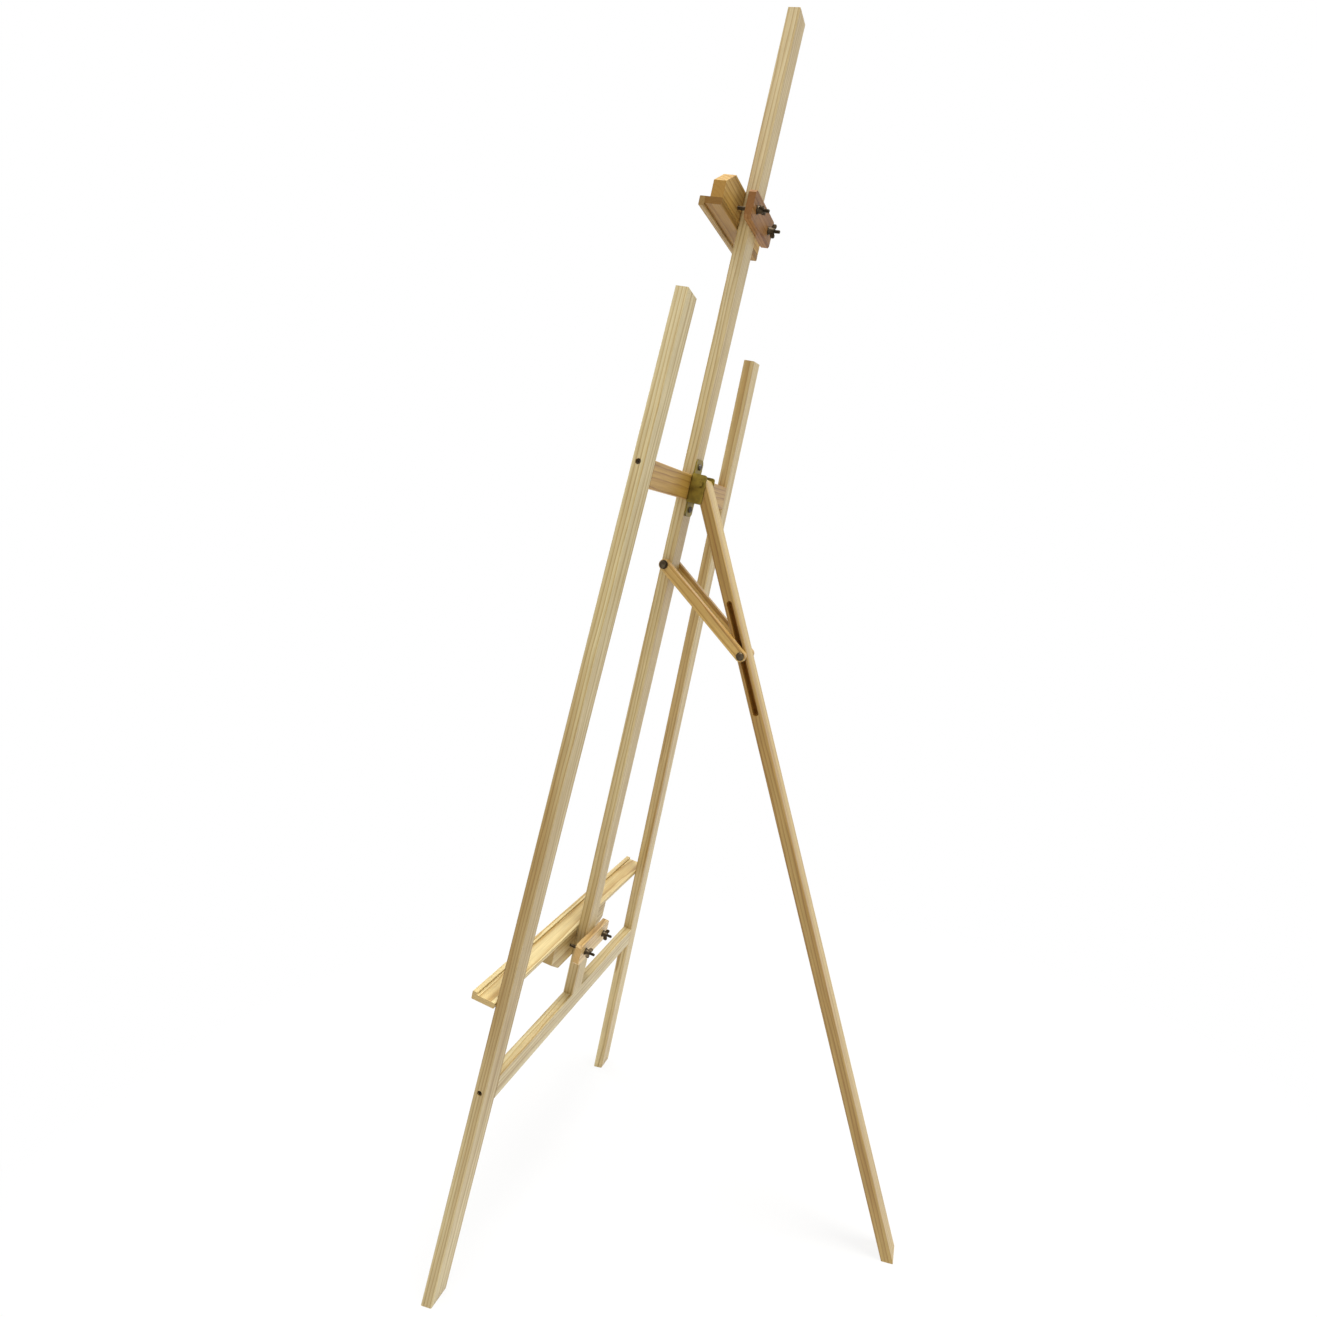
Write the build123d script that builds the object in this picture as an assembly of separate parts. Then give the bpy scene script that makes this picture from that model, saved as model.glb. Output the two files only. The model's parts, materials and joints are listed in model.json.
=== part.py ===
from build123d import *
import os
from math import asin, atan2, cos, degrees, radians, sin, tan

# A lyre easel in pine: two splayed front posts, a fixed mast between them, a rear leg that folds
# on a metal bracket, two slotted-leg braces, and two canvas holders that slide on the mast.
# Lengths are in millimetres. The front frame is drawn upright (X across, Y to the rear, Z along
# the frame from the floor) and then leaned back. "Rise" is a height along the leaning frame.

# Stance of the standing easel, in degrees
lean_angle = 14.7
fold_angle = 28.4

# Planed sticks
stick_width = 38
stick_thickness = 18
edge_round = 1.5

# Front frame
post_rise = 1500
foot_spread = 614
top_spread = 357
mast_rise = 1922
upper_bar_rise = 1267.5
lower_bar_rise = 348
bar_depth = 38

# Clearances: flat faces that slide, flat faces that swing, turning pins, still fasteners
slide_gap = 0.2
swing_gap = 0.3
pin_gap = 0.075
hole_gap = 0.05

# Wood screws
screw_diameter = 4
screw_head_diameter = 8
screw_head_depth = 3
recess_width = 1.2
recess_depth = 1.5
bar_screw_length = 58
bar_screw_lift = 10
bar_screw_sink = 3
mast_screw_length = 70
mast_screw_sink = 4

# Hinge bracket, bent from sheet
bracket_sheet = 2
bracket_ear_depth = 25
bracket_ear_height = 44
bracket_ear_round = 4
bracket_plate_width = 32
bracket_plate_height = 88
bracket_plate_round = 8
bracket_screw_spacing = 66
bracket_screw_length = 15
bracket_screw_head_diameter = 10
bracket_screw_head_height = 3
bracket_screw_head_round = 2

# Hinge axis, behind the mast and above the middle of the upper crossbar
hinge_setback = 16
hinge_lift = 8.5

# Pivot bolts of the hinge and of the braces
pivot_diameter = 6
pivot_head_flats = 10
pivot_head_height = 4
pivot_nut_height = 5
pivot_washer_diameter = 14
pivot_washer_thickness = 1.2
pivot_end_length = 2

# Slot in the rear leg, measured down the leg from the hinge axis
slot_start = 184
slot_length = 183
slot_width = 9

# Braces, whose pivot in the mast is below the hinge axis
brace_drop = 132
brace_span = 187
brace_width = 17
brace_thickness = 11
brace_round = 1

# Clamp bolts with wing nuts
clamp_diameter = 5
clamp_head_diameter = 13
clamp_head_height = 3.2
clamp_head_round = 2.6
clamp_washer_diameter = 12
clamp_washer_thickness = 1
clamp_end_length = 9
slot_bolt_end_length = 3
wing_hub_diameter = 10
wing_hub_top_diameter = 8
wing_hub_height = 8
wing_span = 19
wing_height = 10
wing_thickness = 2.4
wing_root = 2
wing_foot = 4.4
wing_round = 2

# Canvas holders: the ledge carries the canvas and the top holder grips its upper edge
ledge_rise = 470
holder_drop = 263.5
shelf_thickness = 9
ledge_shelf_length = 574
ledge_shelf_depth = 38
holder_shelf_depth = 33
lip_width = 8
ledge_lip_height = 4
holder_lip_height = 3
lip_round = 1
cleat_length = 204
cleat_thickness = 18
cleat_reach = 28
cleat_clip_across = 32
cleat_clip_along = 21
ledge_shelf_offset = 22
holder_shelf_offset = 14
block_length = 114
block_height = 37
block_thickness = 11
block_clip = 4
clamp_spread = 72
shelf_screw_spread = 116
shelf_screw_grip = 6
shelf_screw_sink = 1

# How far each wing nut is turned on its bolt, in degrees, left nut first
ledge_wing_turns = (70, 25)
holder_wing_turns = (90, 10)
slot_wing_turn = 40

# Places that follow from the sizes above
splay_angle = degrees(atan2((foot_spread - top_spread) / 2, post_rise))
half_thickness = stick_thickness / 2
half_width = stick_width / 2
mast_foot_rise = lower_bar_rise + bar_depth / 2
holder_rise = mast_rise - holder_drop
hinge_back = half_thickness + hinge_setback
hinge_rise = upper_bar_rise + hinge_lift
brace_pivot_rise = hinge_rise - brace_drop
swing_share = hinge_back * cos(radians(fold_angle)) + brace_drop * sin(radians(fold_angle))
brace_angle = fold_angle + degrees(asin(swing_share / brace_span))
brace_inner = half_width + swing_gap
brace_outer = brace_inner + brace_thickness
leg_tilt = fold_angle - lean_angle
bracket_inner = half_width + 2 * swing_gap
bracket_outer = bracket_inner + bracket_sheet
bracket_plate_back = half_thickness + bracket_sheet
bracket_ear_back = half_thickness + bracket_ear_depth
cleat_back = half_thickness + slide_gap
cleat_front = cleat_back + cleat_thickness
block_front = half_thickness + slide_gap
block_back = block_front + block_thickness

# The standing easel is centred front to back over its feet
hinge_depth = hinge_rise * sin(radians(lean_angle)) + hinge_back * cos(radians(lean_angle))
hinge_height = hinge_rise * cos(radians(lean_angle)) - hinge_back * sin(radians(lean_angle))
leg_length = hinge_height / cos(radians(leg_tilt))
front_reach = -half_thickness / cos(radians(lean_angle))
rear_reach = hinge_depth + hinge_height * tan(radians(leg_tilt)) + half_thickness / cos(radians(leg_tilt))
setback = -(front_reach + rear_reach) / 2
front_frame = Pos(0, setback, 0) * Rot(-lean_angle, 0, 0)
leg_place = front_frame * Pos(0, hinge_back, hinge_rise) * Rot(fold_angle, 0, 0)
brace_place = front_frame * Pos(0, 0, brace_pivot_rise) * Rot(brace_angle, 0, 0)

# Turns that point an upright fastener's head along each direction of the frame
to_right = Rot(0, 90, 0)
to_left = Rot(0, -90, 0)
to_rear = Rot(-90, 0, 0)
to_front = Rot(90, 0, 0)
to_floor = Rot(180, 0, 0)
bottom_up = (Align.CENTER, Align.CENTER, Align.MIN)
top_down = (Align.CENTER, Align.CENTER, Align.MAX)


def stick(length):
    """A planed stick standing on its end, with eased long edges."""
    bar = Box(stick_width, stick_thickness, length, align=bottom_up)
    return fillet(bar.edges().filter_by(Axis.Z), edge_round)


def floor_cut(shape):
    """Cuts a placed leg off level with the floor."""
    size = foot_spread + rear_reach
    return shape - Box(2 * size, 2 * size, size, align=top_down)


def ring(diameter, thickness, bore):
    return Cylinder(diameter / 2, thickness, align=bottom_up) - Cylinder(bore / 2, 3 * thickness)


def hexagon(flats, height):
    return extrude(RegularPolygon(flats / 2, 6, major_radius=False), height)


def cross_recess(diameter):
    """The driver's cross in a screw head, cut from its top at Z 0."""
    arm = Box(diameter / 2, recess_width, recess_depth, align=top_down)
    return arm + Rot(0, 0, 90) * arm


def countersunk_screw(length):
    """A wood screw with its flat head up at Z 0."""
    flare = Cone(screw_diameter / 2, screw_head_diameter / 2, screw_head_depth, align=top_down)
    shank = Cylinder(screw_diameter / 2, length, align=top_down)
    return flare + shank - cross_recess(screw_head_diameter)


def countersunk_hole(length, sink):
    """The hole for that screw, with its counterbore going up past Z 0 by the sink and more."""
    wide = screw_head_diameter / 2 + hole_gap
    flare = Cone(screw_diameter / 2 + hole_gap, wide, screw_head_depth, align=top_down)
    bore = Cylinder(wide, 3 * sink + stick_thickness, align=bottom_up)
    return flare + bore + Cylinder(screw_diameter / 2 + hole_gap, length, align=top_down)


def pan_screw():
    """A wood screw with a round head seated at Z 0."""
    head = Cylinder(bracket_screw_head_diameter / 2, bracket_screw_head_height, align=bottom_up)
    head = fillet(head.edges().group_by(Axis.Z)[-1], bracket_screw_head_round)
    head -= Pos(0, 0, bracket_screw_head_height) * cross_recess(bracket_screw_head_diameter)
    return head + Cylinder(screw_diameter / 2, bracket_screw_length, align=top_down)


def hex_bolt(diameter, length):
    """A bolt with its hexagon head seated at Z 0 and its shank going down."""
    shank = Cylinder(diameter / 2, length, align=top_down)
    return hexagon(pivot_head_flats, pivot_head_height) + shank


def dome_bolt(length):
    """A clamp bolt with a low domed head seated at Z 0."""
    head = Cylinder(clamp_head_diameter / 2, clamp_head_height, align=bottom_up)
    head = fillet(head.edges().group_by(Axis.Z)[-1], clamp_head_round)
    return head + Cylinder(clamp_diameter / 2, length, align=top_down)


def hex_nut(diameter):
    bore = Cylinder(diameter / 2 + hole_gap, 3 * pivot_nut_height)
    return hexagon(pivot_head_flats, pivot_nut_height) - bore


def wing_nut():
    """A wing nut seated at Z 0, with its wings along X."""
    hub_radius = wing_hub_diameter / 2
    hub = Cone(hub_radius, wing_hub_top_diameter / 2, wing_hub_height, align=bottom_up)
    tip = wing_span / 2
    root = wing_hub_top_diameter / 2
    outline = Polyline(
        (0, wing_root),
        (root, wing_root),
        (tip, wing_foot),
        (tip, wing_height),
        (tip - wing_foot, wing_height),
        (0, wing_hub_height - wing_root),
        close=True,
    )
    wing = fillet(make_face(outline).vertices().sort_by(Axis.X)[-3:], wing_round)
    wing = extrude(Plane.XZ * wing, wing_thickness / 2, both=True)
    bore = Cylinder(clamp_diameter / 2 + pin_gap, 3 * wing_height)
    return hub + wing + mirror(wing, Plane.YZ) - bore


def post_place(side):
    """Where a post stands in the upright frame: on its foot, tipped inwards by the splay."""
    return Pos(side * foot_spread / 2, 0, 0) * Rot(0, -side * splay_angle, 0)


def bar_screw_place(side, bar_rise):
    """A crossbar screw's head in the outer face of a post, pointing outwards."""
    along = (bar_rise + bar_screw_lift) / cos(radians(splay_angle))
    sunk_face = side * (half_width - bar_screw_sink)
    turn = to_right if side > 0 else to_left
    return post_place(side) * Pos(sunk_face, 0, along) * turn


def front_post(side):
    spare = stick_width
    length = post_rise / cos(radians(splay_angle)) + spare
    post = post_place(side) * Pos(0, 0, -spare) * stick(length)
    for bar_rise in (upper_bar_rise, lower_bar_rise):
        post -= bar_screw_place(side, bar_rise) * countersunk_hole(bar_screw_length, bar_screw_sink)
    return floor_cut(front_frame * post)


def inner_face(rise):
    """Half the clear width between the posts at a rise."""
    splay = radians(splay_angle)
    return foot_spread / 2 - rise * tan(splay) - half_width / cos(splay)


def crossbar(bar_rise):
    """A rail between the posts, its ends cut to their splay."""
    low = bar_rise - bar_depth / 2
    high = bar_rise + bar_depth / 2
    corners = [(-inner_face(low), low), (inner_face(low), low)]
    corners += [(inner_face(high), high), (-inner_face(high), high)]
    face = Plane.XZ * Polygon(*corners, align=None)
    bar = extrude(face, half_thickness, both=True)
    bar = fillet(bar.edges().filter_by(Axis.X), edge_round)
    for side in (-1, 1):
        bar -= bar_screw_place(side, bar_rise) * countersunk_hole(bar_screw_length, bar_screw_sink)
    return bar


def bracket_screw_places():
    for end in (-1, 1):
        rise = upper_bar_rise + end * bracket_screw_spacing / 2
        yield Pos(0, bracket_plate_back, rise) * to_rear


def mast_screw_place():
    low = lower_bar_rise - bar_depth / 2
    return Pos(0, 0, low + mast_screw_sink) * to_floor


def upper_crossbar():
    """The upper rail, halved over the mast."""
    notch = Box(stick_width, half_thickness, 2 * bar_depth)
    return crossbar(upper_bar_rise) - Pos(0, -half_thickness / 2, upper_bar_rise) * notch


def lower_crossbar():
    """The lower rail, which carries the foot of the mast."""
    hole = mast_screw_place() * countersunk_hole(mast_screw_length, mast_screw_sink)
    return crossbar(lower_bar_rise) - hole


def mast():
    body = Pos(0, 0, mast_foot_rise) * stick(mast_rise - mast_foot_rise)
    notch = Box(2 * stick_width, half_thickness, bar_depth)
    body -= Pos(0, half_thickness / 2, upper_bar_rise) * notch
    pilot = Cylinder(screw_diameter / 2 + hole_gap, bracket_screw_length + hole_gap, align=top_down)
    for place in bracket_screw_places():
        body -= place * pilot
    body -= mast_screw_place() * countersunk_hole(mast_screw_length, mast_screw_sink)
    body -= Pos(0, 0, brace_pivot_rise) * to_right * Cylinder(pivot_diameter / 2 + hole_gap, 2 * stick_width)
    return body


def bracket_ear(side):
    ear = Box(bracket_sheet, bracket_ear_depth, bracket_ear_height)
    ear = fillet(ear.edges().filter_by(Axis.X).group_by(Axis.Y)[-1], bracket_ear_round)
    middle = half_thickness + bracket_ear_depth / 2
    return Pos(side * (bracket_inner + bracket_sheet / 2), middle, upper_bar_rise) * ear


def hinge_bracket():
    """A back plate on the mast, with two ears that hold the rear leg."""
    plate = Box(bracket_plate_width, bracket_sheet, bracket_plate_height)
    plate = fillet(plate.edges().filter_by(Axis.Y), bracket_plate_round)
    plate += Box(2 * bracket_outer, bracket_sheet, bracket_ear_height)
    bracket = Pos(0, half_thickness + bracket_sheet / 2, upper_bar_rise) * plate
    for side in (-1, 1):
        bracket += bracket_ear(side)
    bends = bracket.edges().filter_by(Axis.Z).group_by(Axis.Y)[0].sort_by(Axis.X)
    bracket = fillet([bends[0], bends[-1]], bracket_sheet)
    hole = Cylinder(screw_diameter / 2 + hole_gap, 4 * bracket_sheet)
    for place in bracket_screw_places():
        bracket -= place * hole
    bolt_hole = Cylinder(pivot_diameter / 2 + hole_gap, 4 * bracket_outer)
    return bracket - Pos(0, hinge_back, hinge_rise) * to_right * bolt_hole


def pivot_bolt(seat):
    """A cross bolt through a pivot, its head at the right and room for a nut at the left."""
    length = 2 * seat + pivot_nut_height + pivot_end_length
    return Pos(seat, 0, 0) * to_right * hex_bolt(pivot_diameter, length)


def pivot_nut(seat):
    return Pos(-seat, 0, 0) * to_left * hex_nut(pivot_diameter)


def pivot_washers(seat):
    washer = ring(pivot_washer_diameter, pivot_washer_thickness, pivot_diameter + 2 * hole_gap)
    return Compound([Pos(seat, 0, 0) * to_right * washer, Pos(-seat, 0, 0) * to_left * washer])


def slotted_leg():
    """The rear leg, drawn hanging from its hinge axis at the origin."""
    spare = stick_width
    length = leg_length + spare
    side_view = Rectangle(stick_thickness, length, align=(Align.CENTER, Align.MAX)) + Circle(half_thickness)
    leg = extrude(Plane.YZ * side_view, half_width, both=True)
    leg = fillet(leg.edges().filter_by(Axis.X, reverse=True), edge_round)
    slot_middle = -(slot_start + slot_length / 2)
    slot = Plane.YZ * Pos(0, slot_middle) * Rot(0, 0, 90) * SlotOverall(slot_length, slot_width)
    leg -= extrude(slot, stick_width, both=True)
    return leg - to_right * Cylinder(pivot_diameter / 2 + pin_gap, 2 * stick_width)


def rear_leg_lengths():
    """The leg in four lengths that meet face to face, with the slot as a clear space between two."""
    leg = slotted_leg()
    size = 2 * leg_length
    above = Pos(0, 0, -slot_start - slot_width / 2) * Box(size, size, size, align=bottom_up)
    below = Pos(0, 0, slot_width / 2 - slot_start - slot_length) * Box(size, size, size, align=top_down)
    front_rail, rear_rail = (leg - above - below).solids().sort_by(Axis.Y)
    return {
        "rear_leg_upper": leg & above,
        "rear_leg_front_rail": front_rail,
        "rear_leg_rear_rail": rear_rail,
        "rear_leg_lower": leg & below,
    }


def brace(side):
    """A flat slat with round ends, drawn hanging from its pivot on the mast."""
    outline = Rot(0, 0, 90) * SlotCenterToCenter(brace_span, brace_width)
    slat = extrude(Plane.YZ * Pos(0, -brace_span / 2) * outline, brace_thickness / 2, both=True)
    slat = fillet(slat.edges().filter_by(Axis.X, reverse=True), brace_round)
    slat -= to_right * Cylinder(pivot_diameter / 2 + pin_gap, 2 * brace_thickness)
    slot_hole = to_right * Cylinder(clamp_diameter / 2 + hole_gap, 2 * brace_thickness)
    slat -= Pos(0, 0, -brace_span) * slot_hole
    return Pos(side * (brace_inner + brace_thickness / 2), 0, 0) * slat


def slot_bolt():
    """The bolt through both braces and the slot, its domed head at the right."""
    clamped = 2 * brace_outer + clamp_washer_thickness + wing_hub_height
    bolt = dome_bolt(clamped + slot_bolt_end_length)
    return Pos(brace_outer, 0, -brace_span) * to_right * bolt


def slot_washer():
    washer = ring(clamp_washer_diameter, clamp_washer_thickness, clamp_diameter + 2 * hole_gap)
    return Pos(-brace_outer, 0, -brace_span) * to_left * washer


def slot_wing_nut():
    seat = brace_outer + clamp_washer_thickness
    return Pos(-seat, 0, -brace_span) * to_left * Rot(0, 0, slot_wing_turn) * wing_nut()


def clamp_places(back):
    """Both clamp bolts of a holder, at a distance behind the mast's middle."""
    for side in (-1, 1):
        yield Pos(side * clamp_spread / 2, back, 0)


def shelf_screw_length(shelf_offset):
    """Long enough to go through the cleat and grip the shelf."""
    return cleat_reach - shelf_screw_sink + shelf_offset + shelf_screw_grip


def shelf_screw_places():
    """The screws that fix a shelf to its cleat, with their heads in the cleat's clipped edge."""
    middle = -(cleat_back + cleat_thickness / 2)
    for side in (-1, 1):
        yield Pos(side * shelf_screw_spread / 2, middle, shelf_screw_sink - cleat_reach) * to_floor


def shelf(length, depth, shelf_offset):
    """The board that the canvas's edge meets, square to the mast."""
    board = Box(length, depth - lip_width, shelf_thickness, align=(Align.CENTER, Align.MAX, Align.MIN))
    board = fillet(board.edges().filter_by(Axis.X).group_by(Axis.Y)[-1], edge_round)
    board = Pos(0, -cleat_back, shelf_offset) * board
    for place in shelf_screw_places():
        board -= place * countersunk_hole(shelf_screw_length(shelf_offset), shelf_screw_sink)
    return board


def lip(length, depth, height, shelf_offset):
    """The strip along the shelf's front edge that stands above it and keeps the canvas on it."""
    strip = Box(length, lip_width, shelf_thickness + height, align=(Align.CENTER, Align.MIN, Align.MIN))
    front, rear = strip.edges().filter_by(Axis.X).group_by(Axis.Y)
    strip = fillet(front + rear.sort_by(Axis.Z)[-1:], lip_round)
    return Pos(0, -cleat_back - depth, shelf_offset) * strip


def cleat(shelf_offset):
    """The block under the shelf, with its far corners clipped."""
    half = cleat_length / 2
    near_clip = half - cleat_clip_across
    corners = [(-half, shelf_offset), (-half, cleat_clip_along - cleat_reach)]
    corners += [(-near_clip, -cleat_reach), (near_clip, -cleat_reach)]
    corners += [(half, cleat_clip_along - cleat_reach), (half, shelf_offset)]
    face = Plane.XZ * Polygon(*corners, align=None)
    body = Pos(0, -cleat_back, 0) * extrude(face, cleat_thickness)
    for place in clamp_places(-cleat_front):
        body -= place * to_front * Cylinder(clamp_diameter / 2 + hole_gap, 4 * cleat_thickness)
    for place in shelf_screw_places():
        body -= place * countersunk_hole(shelf_screw_length(shelf_offset), shelf_screw_sink)
    return body


def clamp_block():
    """The bar behind the mast that the wing nuts pull tight."""
    bar = Box(block_length, block_thickness, block_height)
    bar = chamfer(bar.edges().filter_by(Axis.Y), block_clip)
    bar = Pos(0, (block_front + block_back) / 2, 0) * bar
    for place in clamp_places(block_back):
        bar -= place * to_rear * Cylinder(clamp_diameter / 2 + hole_gap, 4 * block_thickness)
    return bar


def clamp_bolts():
    reach = cleat_front + block_back + clamp_washer_thickness + wing_hub_height
    bolt = dome_bolt(reach + clamp_end_length)
    return Compound([place * to_front * bolt for place in clamp_places(-cleat_front)])


def clamp_washers():
    washer = ring(clamp_washer_diameter, clamp_washer_thickness, clamp_diameter + 2 * hole_gap)
    return Compound([place * to_rear * washer for place in clamp_places(block_back)])


def clamp_wing_nuts(turns):
    places = clamp_places(block_back + clamp_washer_thickness)
    return [place * to_rear * Rot(0, 0, turn) * wing_nut() for place, turn in zip(places, turns)]


def shelf_screws(shelf_offset):
    screw = countersunk_screw(shelf_screw_length(shelf_offset))
    return Compound([place * screw for place in shelf_screw_places()])


def canvas_holder(name, length, depth, lip_height, shelf_offset, wing_turns):
    """One whole holder, drawn with its shelf up and its clamp bolts at Z 0."""
    left_nut, right_nut = clamp_wing_nuts(wing_turns)
    return {
        f"{name}_shelf": shelf(length, depth, shelf_offset),
        f"{name}_lip": lip(length, depth, lip_height, shelf_offset),
        f"{name}_cleat": cleat(shelf_offset),
        f"{name}_shelf_screws": shelf_screws(shelf_offset),
        f"{name}_clamp_block": clamp_block(),
        f"{name}_clamp_bolts": clamp_bolts(),
        f"{name}_clamp_washers": clamp_washers(),
        f"{name}_left_wing_nut": left_nut,
        f"{name}_right_wing_nut": right_nut,
    }


def frame_pieces():
    """The pieces of the fixed front frame, in the upright frame."""
    bar_screw = countersunk_screw(bar_screw_length)
    bar_screws = []
    for bar_rise in (upper_bar_rise, lower_bar_rise):
        bar_screws += [bar_screw_place(side, bar_rise) * bar_screw for side in (-1, 1)]
    hinge = Pos(0, hinge_back, hinge_rise)
    brace_pivot = Pos(0, 0, brace_pivot_rise)
    brace_seat = brace_outer + pivot_washer_thickness
    return {
        "upper_crossbar": upper_crossbar(),
        "lower_crossbar": lower_crossbar(),
        "crossbar_screws": Compound(bar_screws),
        "mast": mast(),
        "mast_foot_screw": mast_screw_place() * countersunk_screw(mast_screw_length),
        "hinge_bracket": hinge_bracket(),
        "hinge_bracket_screws": Compound([place * pan_screw() for place in bracket_screw_places()]),
        "hinge_bolt": hinge * pivot_bolt(bracket_outer),
        "hinge_nut": hinge * pivot_nut(bracket_outer),
        "brace_pivot_bolt": brace_pivot * pivot_bolt(brace_seat),
        "brace_pivot_nut": brace_pivot * pivot_nut(brace_seat),
        "brace_pivot_washers": brace_pivot * pivot_washers(brace_outer),
    }


def brace_pieces():
    """The braces and what clamps them in the slot, drawn hanging from the mast pivot."""
    return {
        "right_brace": brace(1),
        "left_brace": brace(-1),
        "slot_bolt": slot_bolt(),
        "slot_washer": slot_washer(),
        "slot_wing_nut": slot_wing_nut(),
    }


def all_pieces():
    pieces = {"right_front_post": front_post(1), "left_front_post": front_post(-1)}
    for name, shape in frame_pieces().items():
        pieces[name] = front_frame * shape
    for name, shape in rear_leg_lengths().items():
        pieces[name] = floor_cut(leg_place * shape)
    for name, shape in brace_pieces().items():
        pieces[name] = brace_place * shape
    ledge_sizes = (ledge_shelf_length, ledge_shelf_depth, ledge_lip_height, ledge_shelf_offset)
    for name, shape in canvas_holder("ledge", *ledge_sizes, ledge_wing_turns).items():
        pieces[name] = front_frame * Pos(0, 0, ledge_rise) * shape
    holder_sizes = (cleat_length, holder_shelf_depth, holder_lip_height, holder_shelf_offset)
    for name, shape in canvas_holder("top_holder", *holder_sizes, holder_wing_turns).items():
        flipped = mirror(shape, Plane.XY)
        pieces[name] = front_frame * Pos(0, 0, holder_rise) * flipped
    return pieces


os.makedirs("parts", exist_ok=True)
for node, shape in all_pieces().items():
    export_step(shape, f"parts/{node}.step")
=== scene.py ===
# %% [markdown]
# # Dressing a pine lyre easel
# The easel is three splayed sticks and a mast, held with bolts, wing nuts and one bent bracket.
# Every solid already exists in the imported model, in metres and in its final place.
# So this script is about surfaces: wood whose grain runs the right way in every stick, metals that
# look used, real threads on the clamp bolts, and light that lets all of it be seen.

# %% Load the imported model
import json
from math import cos, radians, sin

import bmesh
import bpy
from mathutils import Matrix, Vector


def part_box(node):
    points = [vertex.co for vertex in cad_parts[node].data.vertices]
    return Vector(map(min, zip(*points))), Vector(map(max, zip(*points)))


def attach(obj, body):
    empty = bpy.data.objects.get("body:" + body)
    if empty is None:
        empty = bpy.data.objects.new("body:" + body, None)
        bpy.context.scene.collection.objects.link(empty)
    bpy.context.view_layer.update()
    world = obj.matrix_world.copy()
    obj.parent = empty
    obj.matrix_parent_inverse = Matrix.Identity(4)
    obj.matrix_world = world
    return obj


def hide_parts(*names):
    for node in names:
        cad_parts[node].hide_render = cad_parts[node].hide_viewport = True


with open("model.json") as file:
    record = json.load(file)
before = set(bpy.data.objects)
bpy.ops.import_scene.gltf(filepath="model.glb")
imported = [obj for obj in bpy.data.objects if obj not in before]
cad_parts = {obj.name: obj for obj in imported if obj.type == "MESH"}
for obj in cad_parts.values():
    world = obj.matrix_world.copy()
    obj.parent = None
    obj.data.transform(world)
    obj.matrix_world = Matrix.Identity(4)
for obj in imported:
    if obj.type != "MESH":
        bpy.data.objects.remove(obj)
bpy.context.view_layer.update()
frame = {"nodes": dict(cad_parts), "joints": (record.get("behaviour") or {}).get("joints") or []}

nodes = frame["nodes"]

# %% [markdown]
# ## Directions to work from
# Wood has a direction, so the script needs to know how each stick lies. The joints of the packed
# model already hold most of it: the ledge slides along the mast, so that joint's axis is the mast's
# direction, and the wing nuts turn about their bolts. The other sticks are turned from the mast by
# angles that are written here once.

# %% Directions of the sticks
joints = {joint["name"]: joint for joint in frame["joints"]}
up = Vector((0, 0, 1))
across = Vector((1, 0, 0))
mast_way = Vector(joints["ledge_slide"]["axis"])
rear_way = Vector(joints["ledge_left_wing_nut_turn"]["axis"])
post_splay = radians(4.9)
leg_turn = radians(28.4)
brace_turn = radians(55.36)
leg_way = Matrix.Rotation(leg_turn, 3, "X") @ mast_way
brace_way = Matrix.Rotation(brace_turn, 3, "X") @ mast_way
grain_ways = {
    "right_front_post": mast_way * cos(post_splay) - across * sin(post_splay),
    "left_front_post": mast_way * cos(post_splay) + across * sin(post_splay),
    "mast": mast_way,
    "rear_leg": leg_way,
    "right_brace": brace_way,
    "left_brace": brace_way,
    "upper_crossbar": across,
    "lower_crossbar": across,
}
for holder in ("ledge", "top_holder"):
    for board in ("shelf", "lip", "cleat", "clamp_block"):
        grain_ways[f"{holder}_{board}"] = across

# The rear leg is one stick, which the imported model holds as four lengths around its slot
leg_lengths = [f"rear_leg_{length}" for length in ("upper", "front_rail", "rear_rail", "lower")]
print("grain is set for", len(grain_ways), "pieces of wood")

# %% [markdown]
# ## Two helpers for every finish
# Colours are picked as sRGB hex codes, as a colour picker shows them, and a shader wants them
# linear. Shader trees are long when each node takes four lines, so one small function adds a node,
# sets it up and connects it in a single call.
#
# Some nodes have several inputs of one name, and these are given by number. On Map Range, 0 is the
# value, 1 and 2 are the range that it comes from, and 3 and 4 are the range that it goes to. On
# a colour Mix, 0 is the share, and 6 and 7 are the two colours.

# %% Helpers for colours and nodes
def linear(code):
    """An sRGB hex code as the linear colour that a shader socket takes."""
    channels = [int(code[i:i + 2], 16) / 255 for i in (1, 3, 5)]
    return [c / 12.92 if c <= 0.04045 else ((c + 0.055) / 1.055) ** 2.4 for c in channels] + [1]


def add(tree, kind, inputs=None, **settings):
    """Adds a node. Inputs are given by name or number, as a value or as a socket to link."""
    made = tree.nodes.new("ShaderNode" + kind)
    for name, value in settings.items():
        setattr(made, name, value)
    for key, value in (inputs or {}).items():
        if isinstance(value, bpy.types.NodeSocket):
            tree.links.new(value, made.inputs[key])
        else:
            made.inputs[key].default_value = value
    return made.outputs


print("white is", linear("#FFFFFF"), "and mid grey is", [round(c, 3) for c in linear("#808080")])

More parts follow.
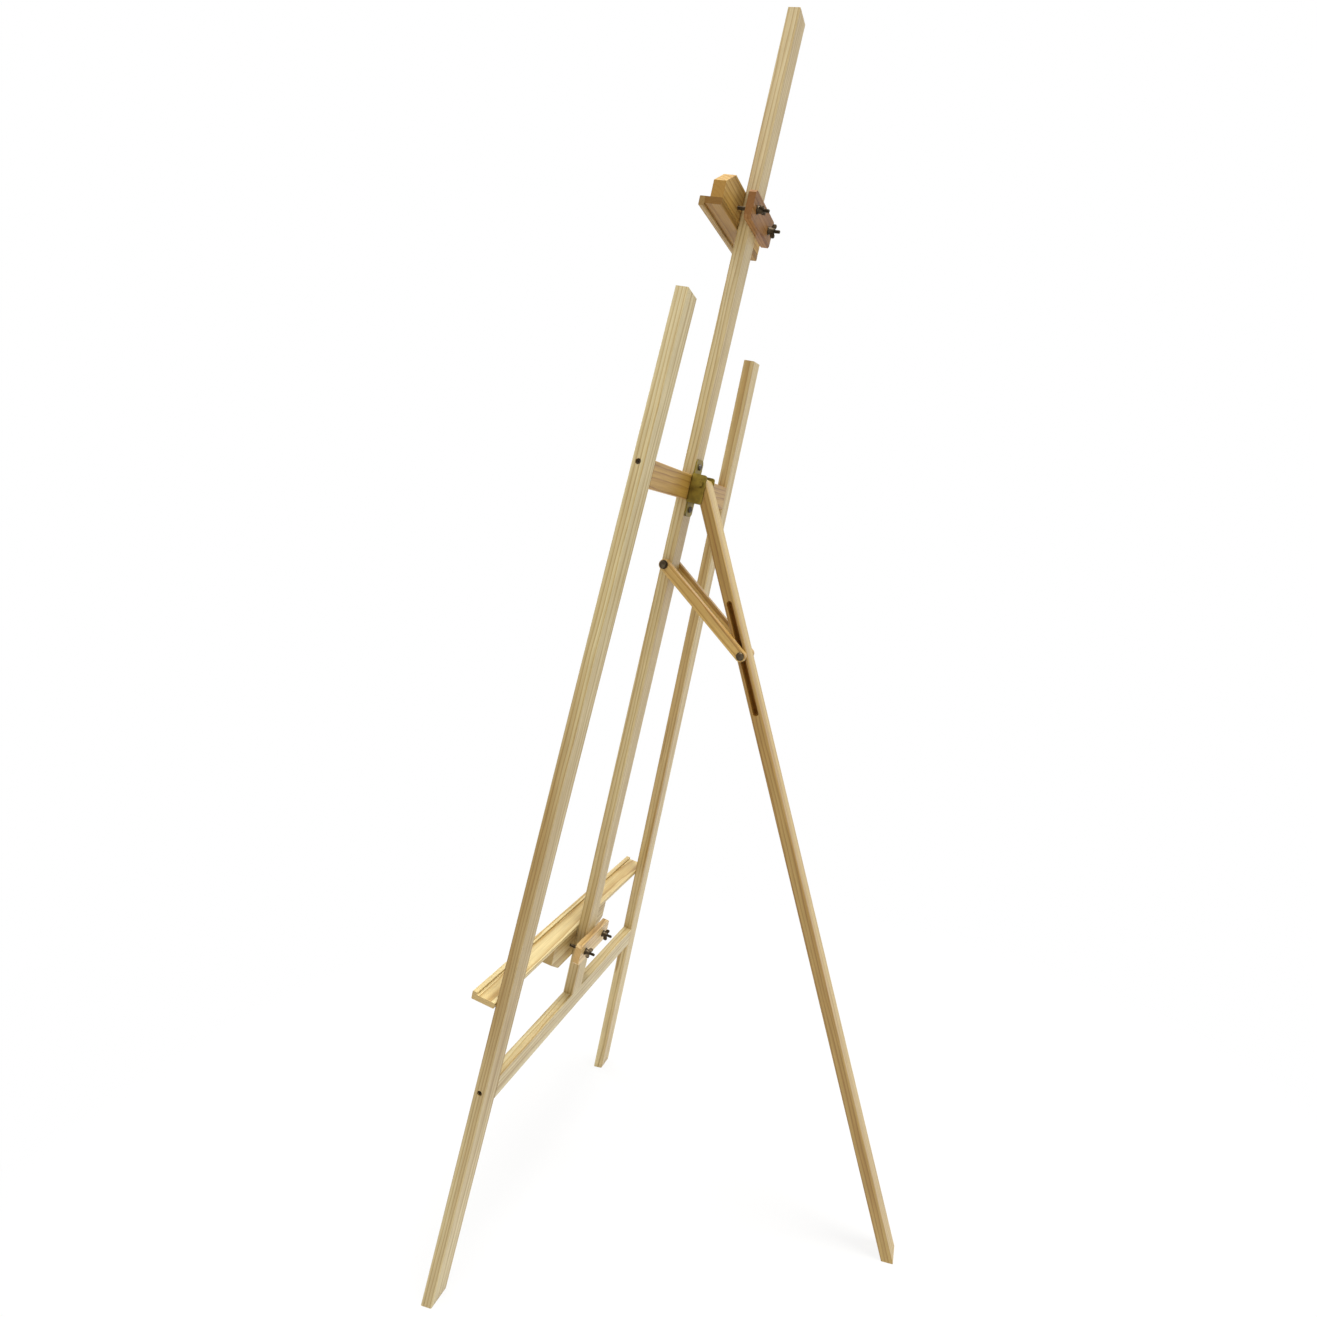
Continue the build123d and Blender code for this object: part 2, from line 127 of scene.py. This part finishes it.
# %% [markdown]
# ## Planed pine
# Pine is a softwood, sawn from a log whose growth rings are a few millimetres apart. Each ring is
# wide and pale where it grew in spring and narrow and amber where it grew in summer. Painting lines
# on each face would never meet at the edges. A solid texture does: the rings are cylinders around
# a pith that lies beside the stick, bent a little by noise, and every face simply cuts through
# them. Long faces then show drawn-out lines and arches, and the ends show curved rings.
#
# No two sticks of pine are alike, so each piece has a tone of its own. Denser wood is darker and
# also warmer, as blue falls the fastest and red the slowest. So one tone for a piece is enough, and
# the colours of its rings, its heartwood and its ends are all deepened from it.

# %% Tones of the wood
deepening_powers = (0.65, 1.0, 1.8)
tones = {
    "right_front_post": "#CFBD8B",
    "left_front_post": "#DAC691",
    "mast": "#CEB985",
    "rear_leg": "#C8AE6C",
    "right_brace": "#C6A259",
    "left_brace": "#C6A259",
    "upper_crossbar": "#BC9444",
    "lower_crossbar": "#D2C191",
    "ledge_shelf": "#D9C48C",
    "ledge_lip": "#D9C48C",
    "ledge_cleat": "#CBB57C",
    "ledge_clamp_block": "#E0C288",
    "top_holder_shelf": "#957238",
    "top_holder_lip": "#A98F5F",
    "top_holder_cleat": "#BE9953",
    "top_holder_clamp_block": "#986E40",
}


def deepened(tone, depth):
    """A linear colour made darker and warmer, as wood is where it is denser."""
    return [channel * depth ** power for channel, power in zip(tone, deepening_powers)] + [1]


for depth in (1.0, 0.5):
    print("mast at depth", depth, [round(c, 2) for c in deepened(linear(tones["mast"]), depth)])

# %% [markdown]
# ### A stick's own place in the log
# Every pattern in wood is drawn out along the grain. So the coordinates are turned until Z runs
# along the stick and are counted in millimetres, and noise gets one size across and a far longer
# one along. Each piece also reads the noise somewhere else, as if cut from its own part of the log.

# %% Coordinates along the grain
mm_per_metre = 1000.0
log_steps_mm = (61.0, 37.0, 911.0)


def stick_space(tree, place, way, middle, seed):
    """The place on a stick in millimetres, with Z along its grain, and that place in the log."""
    turn = up.rotation_difference(way).to_euler()
    local = add(tree, "Mapping", {0: place, 1: middle, 2: turn}, vector_type="TEXTURE")
    mm = add(tree, "VectorMath", {0: local[0], "Scale": mm_per_metre}, operation="SCALE")
    own = add(tree, "VectorMath", {0: mm[0], 1: [step * seed for step in log_steps_mm]})
    return mm[0], own[0]


def drawn_noise(tree, own, size_mm, detail):
    """Noise with blotches of a given size across, through and along the stick."""
    scale = [1 / size for size in size_mm]
    scaled = add(tree, "VectorMath", {0: own, 1: scale}, operation="MULTIPLY")
    return add(tree, "TexNoise", {"Vector": scaled[0], "Scale": 1.0, "Detail": detail})[0]


print("two pieces of wood lie", log_steps_mm[2], "mm apart along the log")

# %% [markdown]
# ### Growth rings
# The pith is beside the stick and not quite parallel to it, which draws arches on wide faces. Where
# it lies differs from piece to piece. The distance from it, divided by the width of a ring, counts
# the rings, and what is left over says how far through a ring the wood is. The rings bend by a few
# millimetres over a hand's length of stick.

# %% Growth rings
ring_mm = 5.2
ring_depths = ((0.0, 1.06), (0.5, 1.0), (0.8, 0.76), (0.93, 0.48), (1.0, 1.06))
bend_mm = 9.0
bend_size_mm = (24, 24, 230)
pith_lean = 0.011
pith_side_mm = 26.0
pith_wander_mm = (9.0, 34.0)


def pith_beside(seed):
    """Where the pith is, in millimetres from the middle of a stick, spread out by its seed."""
    wander_x, wander_y = pith_wander_mm
    return Vector((pith_side_mm + wander_x * sin(5.1 * seed), wander_y * cos(2.3 * seed), 0.0))


def growth_rings(tree, mm, own, tone, pith):
    """The rings' colour, how far through a ring the wood is, and its distance from the pith."""
    bend = drawn_noise(tree, own, bend_size_mm, 3.0)
    bend = add(tree, "Math", {0: bend, 1: bend_mm}, operation="MULTIPLY")
    from_pith = add(tree, "VectorMath", {0: mm, 1: pith}, operation="SUBTRACT")
    lean = (1, 1, pith_lean)
    leaning = add(tree, "VectorMath", {0: from_pith[0], 1: lean}, operation="MULTIPLY")
    radius = add(tree, "VectorMath", {0: leaning[0]}, operation="LENGTH")["Value"]
    bent = add(tree, "Math", {0: radius, 1: bend[0]})
    count = add(tree, "Math", {0: bent[0], 1: ring_mm}, operation="DIVIDE")
    phase = add(tree, "Math", {0: count[0]}, operation="FRACT")
    rings = add(tree, "ValToRGB", {0: phase[0]})
    stops = rings[0].node.color_ramp.elements
    while len(stops) < len(ring_depths):
        stops.new(0.5)
    for stop, (place, depth) in zip(stops, ring_depths):
        stop.position = place
        stop.color = deepened(tone, depth)
    return rings[0], phase[0], radius


print("rings are", ring_mm, "mm wide and wander by up to", bend_mm, "mm")

# %% [markdown]
# ### Heartwood
# The middle of a log is darker than the wood under its bark. Here it comes in broad golden streaks,
# and in some long sticks it also fills the part that is nearest to the pith, which is the stick's
# side face, between two heights.

# %% Heartwood
heart_depth = 0.5
streak_size_mm = (13, 13, 420)
streak_range = (0.42, 0.68)
streak_share = 0.5
fade_outside = 0.2
fade_inside = 0.1
heart_edge_mm = (8, 20)
side_face = Vector((19.0, 0.0, 0.0))

# From one height to another in metres, and how much of it
heart_spans = {
    "right_front_post": (0.35, 0.80, 0.8),
    "left_front_post": (0.40, 1.60, 0.55),
    "rear_leg": (0.10, 1.60, 0.7),
}
no_heart = (9.0, 9.0, 0.0)


def heartwood(tree, place, own, radius, pith, span):
    """How much heartwood there is, from 0 to 1."""
    streak = drawn_noise(tree, own, streak_size_mm, 2.0)
    start, end = streak_range
    streaky = add(tree, "MapRange", {0: streak, 1: start, 2: end, 3: 0.0, 4: streak_share})
    height = add(tree, "SeparateXYZ", {0: place})["Z"]
    low, high, share = span
    start, end = low - fade_outside, low + fade_inside
    above = add(tree, "MapRange", {0: height, 1: start, 2: end, 3: 0.0, 4: share})
    start, end = high - fade_inside, high + fade_outside
    below = add(tree, "MapRange", {0: height, 1: start, 2: end, 3: 1.0, 4: 0.0})
    start, end = [(pith - side_face).length + edge for edge in heart_edge_mm]
    inner = add(tree, "MapRange", {0: radius, 1: start, 2: end, 3: 1.0, 4: 0.0})
    filled = add(tree, "Math", {0: above[0], 1: below[0]}, operation="MULTIPLY")
    summed = {0: filled[0], 1: inner[0], 2: streaky[0]}
    return add(tree, "Math", summed, operation="MULTIPLY_ADD", use_clamp=True)[0]


print("heartwood fills a side of", len(heart_spans), "sticks")

# %% [markdown]
# ### Fibres, sawn ends and sealer
# A planed face is satin, and a little rougher between the fibres. Fibres are finer than
# a millimetre, and are drawn at 1 mm so that they show at all. End grain soaks up sealer, so faces
# that look along the grain are made darker. Most of the easel is sealed, which puts a thin clear
# coat on the wood, while the top holder is stained and left dull.

# %% The wood finish
fibre_size_mm = (1.0, 1.0, 50)
fibre_range = (0.3, 0.7)
fibre_shades = (0.84, 1.06)
fibre_roughness = (0.52, 0.36)
fibre_height = 0.00025
ring_height = 0.4
end_depth = 0.62
end_range = (0.8, 0.95)
end_share = 0.8

# Shine as (specular level, coat weight)
sealed_shine = (0.5, 0.2)
stained_shine = (0.15, 0.0)


def sawn_wood(name, tone, span, shine, way, middle, seed):
    """Solid wood with its grain along a direction, cut from its own part of the log."""
    wood = bpy.data.materials.new(name)
    wood.use_nodes = True
    tree = wood.node_tree
    coords = add(tree, "TexCoord")
    place = coords["Object"]
    pith = pith_beside(seed)
    mm, own = stick_space(tree, place, way, middle, seed)
    rings, phase, radius = growth_rings(tree, mm, own, tone, pith)
    heart = heartwood(tree, place, own, radius, pith, span)
    warm = deepened((1.0, 1.0, 1.0), heart_depth)
    mixing = {"data_type": "RGBA", "blend_type": "MULTIPLY"}
    body = add(tree, "Mix", {0: heart, 6: rings, 7: warm}, **mixing)

    fibre = drawn_noise(tree, own, fibre_size_mm, 2.0)
    start, end = fibre_range
    dark, pale = fibre_shades
    shade = add(tree, "MapRange", {0: fibre, 1: start, 2: end, 3: dark, 4: pale})
    lined = add(tree, "Mix", {0: 1.0, 6: body[2], 7: shade[0]}, **mixing)
    rough, satin = fibre_roughness
    sheen = add(tree, "MapRange", {0: fibre, 1: start, 2: end, 3: rough, 4: satin})
    raised = add(tree, "Math", {0: fibre, 1: phase, 2: ring_height}, operation="MULTIPLY_ADD")
    bump = add(tree, "Bump", {"Strength": 0.3, "Distance": fibre_height, "Height": raised[0]})

    facing = add(tree, "VectorMath", {0: coords["Normal"], 1: way}, operation="DOT_PRODUCT")
    facing = add(tree, "Math", {0: facing["Value"]}, operation="ABSOLUTE")
    start, end = end_range
    sawn_end = add(tree, "MapRange", {0: facing[0], 1: start, 2: end, 3: 0.0, 4: end_share})
    end_colour = deepened(tone, end_depth)
    colour = add(tree, "Mix", {0: sawn_end[0], 6: lined[2], 7: end_colour}, data_type="RGBA")

    surface = tree.nodes["Principled BSDF"].inputs
    tree.links.new(colour[2], surface["Base Color"])
    tree.links.new(sheen[0], surface["Roughness"])
    tree.links.new(bump[0], surface["Normal"])
    surface["IOR"].default_value = 1.5
    surface["Specular IOR Level"].default_value = shine[0]
    surface["Coat Weight"].default_value = shine[1]
    surface["Coat Roughness"].default_value = 0.3
    return wood


print("fibres are drawn", fibre_size_mm[0], "mm wide and", fibre_size_mm[2], "mm long")

# %% [markdown]
# Each piece now gets a finish of its own. Its coordinates start from the middle of the stick, which
# for the rear leg is the middle of its four lengths together. They share one finish, so the grain
# runs on from length to length and the leg looks like the one stick that it is.

# %% Give every piece its wood
wooden = []
for seed, (stick, way) in enumerate(grain_ways.items(), start=1):
    lengths = leg_lengths if stick == "rear_leg" else [stick]
    corners = [Vector(corner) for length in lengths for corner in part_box(length)]
    middle = sum(corners, Vector()) / len(corners)
    span = heart_spans.get(stick, no_heart)
    shine = stained_shine if stick.startswith("top_holder") else sealed_shine
    wood = sawn_wood(f"planed_pine_{stick}", linear(tones[stick]), span, shine, way, middle, seed)
    for length in lengths:
        nodes[length].data.materials.clear()
        nodes[length].data.materials.append(wood)
    wooden += lengths
print("wood finishes:", len(grain_ways), "on", len(wooden), "nodes")

# %% [markdown]
# The slot in the rear leg was cut after the stick was sealed, so its walls are raw and dull. Their
# deeper orange colour is painted shade for the dim inside of the slot.
# They are the faces near the leg's middle plane that do not look to the sides, so the same finish
# gets a mask of those and no other mesh is needed. The mask reaches a little past the slot's walls.

# %% Walls of the slot
slot_start = 0.184
slot_length = 0.183
slot_reach_along = 0.093
slot_reach_back = 0.0047
looks_sideways = 0.5
# A darker, more orange colour than the leg's tone: painted shade for the inside of the slot
slot_painted_shade_tone = "#B58840"

hinge = Vector(joints["rear_leg_fold"]["pos_m"])
slot_middle = hinge - leg_way * (slot_start + slot_length / 2)
leg_back = leg_way.cross(across)
tree = bpy.data.materials["planed_pine_rear_leg"].node_tree
surface = tree.nodes["Principled BSDF"].inputs
coords = add(tree, "TexCoord")
offset = add(tree, "VectorMath", {0: coords["Object"], 1: slot_middle}, operation="SUBTRACT")
facing = add(tree, "VectorMath", {0: coords["Normal"], 1: across}, operation="DOT_PRODUCT")
facing = add(tree, "Math", {0: facing["Value"]}, operation="ABSOLUTE")
mask = add(tree, "Math", {0: facing[0], 1: looks_sideways}, operation="LESS_THAN")[0]
for way, reach in ((leg_way, slot_reach_along), (leg_back, slot_reach_back)):
    along = add(tree, "VectorMath", {0: offset[0], 1: way}, operation="DOT_PRODUCT")
    far = add(tree, "Math", {0: along["Value"]}, operation="ABSOLUTE")
    near = add(tree, "Math", {0: far[0], 1: reach}, operation="LESS_THAN")
    mask = add(tree, "Math", {0: mask, 1: near[0]}, operation="MULTIPLY")[0]
sealed = surface["Base Color"].links[0].from_socket
# The masked walls get the painted shade colour, and lose their sealer's shine
colour = add(tree, "Mix", {0: mask, 6: sealed, 7: linear(slot_painted_shade_tone)}, data_type="RGBA")
tree.links.new(colour[2], surface["Base Color"])
for gloss in ("Specular IOR Level", "Coat Weight"):
    full = surface[gloss].default_value
    kept = add(tree, "MapRange", {0: mask, 1: 0.0, 2: 1.0, 3: full, 4: 0.0})
    tree.links.new(kept[0], surface[gloss])
print("slot walls are raw around", [round(c, 3) for c in slot_middle])

# %% [markdown]
# ## Three metals
# The bolts, washers and wing nuts are steel with a dark bronzed finish, a thin skin that rubs to
# a paler brown. The bracket and its bolt are brass plated and have gone dull and olive, and its
# screws are zinc plated and grey. All three are a base metal under a blotchy skin, so one function
# makes them, with the size of the blotches given in millimetres. The grit in the skin is finer than
# the render can show, and is drawn at 0.6 mm.

# %% The metal finishes
rubbed_range = (0.45, 0.75)
polish_range = (0.3, 0.7)
polish_swing = 0.1
grit_mm = 0.6
grit_height = 0.0001


def skinned_metal(name, skin, worn, roughness, blotch_mm):
    """Metal under a thin finish that is blotchy and rubbed."""
    metal = bpy.data.materials.new(name)
    metal.use_nodes = True
    tree = metal.node_tree
    place = add(tree, "TexCoord")["Object"]
    scale = mm_per_metre / blotch_mm
    blotch = add(tree, "TexNoise", {"Vector": place, "Scale": scale, "Detail": 4.0})[0]
    start, end = rubbed_range
    rubbed = add(tree, "MapRange", {0: blotch, 1: start, 2: end, 3: 0.0, 4: 1.0})
    colour = add(tree, "Mix", {0: rubbed[0], 6: linear(skin), 7: linear(worn)}, data_type="RGBA")
    start, end = polish_range
    dull, bright = roughness + polish_swing, roughness - polish_swing
    polish = add(tree, "MapRange", {0: blotch, 1: start, 2: end, 3: dull, 4: bright})
    scale = mm_per_metre / grit_mm
    grit = add(tree, "TexNoise", {"Vector": place, "Scale": scale, "Detail": 2.0})
    bump = add(tree, "Bump", {"Strength": 0.15, "Distance": grit_height, "Height": grit[0]})

    surface = tree.nodes["Principled BSDF"].inputs
    tree.links.new(colour[2], surface["Base Color"])
    tree.links.new(polish[0], surface["Roughness"])
    tree.links.new(bump[0], surface["Normal"])
    surface["Metallic"].default_value = 1.0
    return metal


bronzed_steel = skinned_metal("dark_bronzed_steel", "#483D2E", "#655946", 0.45, 6)
brass_plate = skinned_metal("dull_brass_plate", "#907E39", "#6A5C2C", 0.48, 14)
dull_zinc = skinned_metal("dull_zinc_plate", "#6C665F", "#4F4943", 0.5, 5)
special_metals = {
    "hinge_bracket": brass_plate,
    "hinge_bolt": brass_plate,
    "hinge_nut": brass_plate,
    "hinge_bracket_screws": dull_zinc,
}
metal_names = [name for name in nodes if name not in wooden]
for name in metal_names:
    nodes[name].data.materials.clear()
    nodes[name].data.materials.append(special_metals.get(name, bronzed_steel))
print("metal pieces:", len(metal_names))

# %% [markdown]
# ## Clamp bolts with real threads
# The bolts stick out past their wing nuts, so their threads are in plain sight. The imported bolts
# are smooth, and a bump texture would leave the outline smooth too. Here each bolt is turned on
# a lathe: half of its outline is drawn and spun round. The thread is a small triangle spun on round
# the same axis while it moves along by one pitch per turn.

# %% Lathe and thread for a bolt
bolt_radius = 0.0025
thread_pitch = 0.0008
thread_depth = 0.0005
thread_foot = 0.45
core_radius = bolt_radius - thread_depth
lathe_steps = 32
thread_steps = 20


def add_turned(bm, outline):
    """Spins an outline of (radius, height) about Z into a closed round solid."""
    points = [bm.verts.new((radius, 0, height)) for radius, height in outline]
    edges = [bm.edges.new(pair) for pair in zip(points, points[1:])]
    bmesh.ops.spin(
        bm, geom=points + edges, cent=(0, 0, 0), axis=up, angle=radians(360),
        steps=lathe_steps, use_merge=True,
    )


def add_thread(bm, start, end):
    """Winds a triangular ridge round Z from one height to another."""
    half = thread_pitch * thread_foot
    ridge = [(core_radius, start - half), (bolt_radius, start), (core_radius, start + half)]
    points = [bm.verts.new((radius, 0, height)) for radius, height in ridge]
    edges = [bm.edges.new((points[i], points[i - 1])) for i in range(3)]
    turns = (end - start) / thread_pitch
    steps = int(turns * thread_steps)
    bmesh.ops.spin(
        bm, geom=points + edges, cent=(0, 0, 0), axis=up, angle=radians(360 * turns),
        dvec=(0, 0, (end - start) / steps), steps=steps, use_merge=False,
    )


print("a bolt of", 2000 * bolt_radius, "mm with a pitch of", 1000 * thread_pitch, "mm")

# %% [markdown]
# A bolt's outline runs from the top of its domed head, along the plain shank and the core of the
# thread, to a small bevel at its tip. Its grip is what it holds together, up to the wing nut's
# seat, and its reach is how far it goes on from there.

# %% A whole bolt
head_radius = 0.0065
head_rim = 0.0006
head_rise = 0.0026
run_out = 0.0006
tip_bevel = 0.0005
thread_stop = 0.0009


def turned_bolt(bm, grip, reach, thread_length):
    """A bolt along Z: the domed head is below zero, and the thread ends at grip plus reach."""
    tip = grip + reach
    thread_start = tip - thread_length
    slopes = [radians(slope) for slope in range(0, 91, 15)]
    outline = [(head_radius * sin(a), -head_rim - head_rise * cos(a)) for a in slopes]
    outline += [(head_radius, 0), (bolt_radius, 0), (bolt_radius, thread_start - run_out)]
    outline += [(core_radius, thread_start), (core_radius, tip - tip_bevel)]
    outline += [(core_radius - tip_bevel, tip), (0, tip)]
    add_turned(bm, outline)
    add_thread(bm, thread_start, tip - thread_stop)


print("a head of", 2000 * head_radius, "mm with", 1000 * head_rise, "mm of dome")

# %% [markdown]
# Each bolt is modelled along Z and then moved into place, so that the finished object stays at the
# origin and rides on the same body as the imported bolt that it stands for. The wing nut's joint says
# where the bolt's axis is.

# %% Put the threaded bolts in place
clamp_bolt = {"grip": 0.0484, "reach": 0.017, "thread_length": 0.030}
slot_bolt = {"grip": 0.0616, "reach": 0.011, "thread_length": 0.024}
same_point = 1e-6


def bolt_piece(name, body, stands_for, seats, way, bolt):
    """Builds one object with a bolt at each seat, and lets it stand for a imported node."""
    mesh = bpy.data.meshes.new(name)
    whole = bmesh.new()
    turn = up.rotation_difference(way).to_matrix().to_4x4()
    for seat in seats:
        one = bmesh.new()
        turned_bolt(one, **bolt)
        bmesh.ops.remove_doubles(one, verts=one.verts, dist=same_point)
        bmesh.ops.holes_fill(one, edges=one.edges, sides=4)
        bmesh.ops.recalc_face_normals(one, faces=one.faces)
        place = Matrix.Translation(seat - way * bolt["grip"]) @ turn
        bmesh.ops.transform(one, matrix=place, verts=one.verts)
        one.to_mesh(mesh)
        one.free()
        whole.from_mesh(mesh)
    whole.to_mesh(mesh)
    whole.free()
    mesh.materials.append(bronzed_steel)
    piece = bpy.data.objects.new(name, mesh)
    bpy.context.scene.collection.objects.link(piece)
    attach(piece, body)
    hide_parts(stands_for)
    print(name, "stands for", stands_for, "with", len(mesh.polygons), "faces")


for holder in ("ledge", "top_holder"):
    turns = [joints[f"{holder}_{side}_wing_nut_turn"] for side in ("left", "right")]
    seats = [Vector(turn["pos_m"]) for turn in turns]
    bolt_piece(
        f"{holder}_threaded_bolts", holder, f"{holder}_clamp_bolts", seats, rear_way, clamp_bolt
    )
slot_seat = Vector(joints["slot_wing_nut_turn"]["pos_m"])
bolt_piece("slot_threaded_bolt", "braces", "slot_bolt", [slot_seat], -across, slot_bolt)

# %% [markdown]
# ## Floor and background
# A studio shot of this kind has a white ground that fades into a white wall. A white floor alone
# would never be quite as bright as the wall, and the horizon would show. So what the eye sees of
# the floor is mostly plain white, and wholly so far away, while near the easel enough of the lit
# floor is mixed in to keep the shadow. Metal has to mirror the same white, so rays that come off
# a glossy surface or through a clear one count as seen. Light that bounces up is not changed.

# %% Make the floor
floor_radius = 8.0
shadow_span = (0.5, 1.3)
near_white = 0.86


def seen_rays(tree):
    """One for the rays that bring the background to the eye, and zero for those that light."""
    path = add(tree, "LightPath")
    direct = {0: path["Is Camera Ray"], 1: path["Is Glossy Ray"]}
    direct = add(tree, "Math", direct, operation="MAXIMUM")
    through = {0: direct[0], 1: path["Is Transmission Ray"]}
    return add(tree, "Math", through, operation="MAXIMUM")[0]


floor_mesh = bpy.data.meshes.new("studio_floor")
disc = bmesh.new()
bmesh.ops.create_circle(disc, cap_ends=True, segments=96, radius=floor_radius)
disc.to_mesh(floor_mesh)
disc.free()
floor = bpy.data.objects.new("studio_floor", floor_mesh)
bpy.context.scene.collection.objects.link(floor)

paper = bpy.data.materials.new("white_paper_ground")
paper.use_nodes = True
tree = paper.node_tree
shader = tree.nodes["Principled BSDF"]
shader.inputs["Base Color"].default_value = linear("#EDEBE7")
shader.inputs["Roughness"].default_value = 0.9
away = add(tree, "VectorMath", {0: add(tree, "TexCoord")["Object"]}, operation="LENGTH")
start, end = shadow_span
veil = add(tree, "MapRange", {0: away["Value"], 1: start, 2: end, 3: near_white, 4: 1.0})
share = add(tree, "Math", {0: seen_rays(tree), 1: veil[0]}, operation="MULTIPLY")
white = add(tree, "Emission", {"Color": (1, 1, 1, 1), "Strength": 1.0})
mixed = add(tree, "MixShader", {0: share[0], 1: shader.outputs[0], 2: white[0]})
tree.links.new(mixed[0], tree.nodes["Material Output"].inputs["Surface"])
floor_mesh.materials.append(paper)
print("a floor of", floor_radius, "m keeps its shadow within", shadow_span[1], "m")

# %% [markdown]
# The world is the wall. It is plain white where it is seen, and as a light it is much weaker, so
# that the lamps still shape the easel.

# %% Make the world
ambient_light = 0.37
world = bpy.data.worlds.new("white_studio")
bpy.context.scene.world = world
world.use_nodes = True
tree = world.node_tree
strength = add(tree, "MapRange", {0: seen_rays(tree), 1: 0.0, 2: 1.0, 3: ambient_light, 4: 1.0})
background = tree.nodes["Background"].inputs
background["Color"].default_value = (1, 1, 1, 1)
tree.links.new(strength[0], background["Strength"])
print("the world lights at", ambient_light, "and is seen at 1")

# %% [markdown]
# ## Soft light
# Large lamps make soft shadows. The key lamp is high above the easel and behind it, so the faces
# that look up are the palest, and the floor throws its light back onto the feet. A fill that is
# high at the right brightens the upper ends of the side faces, and a lamp in front stops the far
# faces from going dull in other views.

# %% Place the lamps
easel_middle = Vector((0, 0, 0.9))


def soft_lamp(name, place, size, watts):
    """A round lamp that points at the middle of the easel."""
    data = bpy.data.lights.new(name, "AREA")
    data.shape = "DISK"
    data.size = size
    data.energy = watts
    lamp = bpy.data.objects.new(name, data)
    lamp.location = place
    lamp.rotation_euler = (easel_middle - Vector(place)).to_track_quat("-Z", "Y").to_euler()
    bpy.context.scene.collection.objects.link(lamp)
    print(name, "of", watts, "W at", place)


soft_lamp("key_lamp", (0.35, 1.9, 7.3), 2.4, 535)
soft_lamp("side_fill", (2.4, -0.3, 3.0), 2.0, 21)
soft_lamp("front_fill", (-1.8, -3.0, 2.2), 2.4, 48)

# %% [markdown]
# ## The camera
# The picture was taken from close by with a wide lens, at about chest height, from behind the easel
# and to one side. The place, the angles and the focal length come from fitting the sticks' edges.

# %% Set the camera
camera_place = (1.1835, 0.3868, 1.0860)
heading = Matrix.Rotation(radians(110.16), 4, "Z")
looking_down = 7.01
tilt = Matrix.Rotation(radians(90 - looking_down), 4, "X")
roll = Matrix.Rotation(radians(-0.81), 4, "Z")
view = bpy.data.cameras.new("studio_camera")
view.sensor_width = 36.0
view.lens = 21.3
view.shift_x = -0.0036
view.shift_y = 0.0115
camera = bpy.data.objects.new("studio_camera", view)
camera.matrix_world = Matrix.Translation(camera_place) @ heading @ tilt @ roll
bpy.context.scene.collection.objects.link(camera)
bpy.context.scene.camera = camera
bpy.context.scene.view_settings.view_transform = "Standard"
print("camera at", camera_place, "with a lens of", view.lens, "mm")

# %% [markdown]
# ## Last step
# The view layer is updated, so that every object stands in its final place.

# %% Update the view layer
bpy.context.view_layer.update()
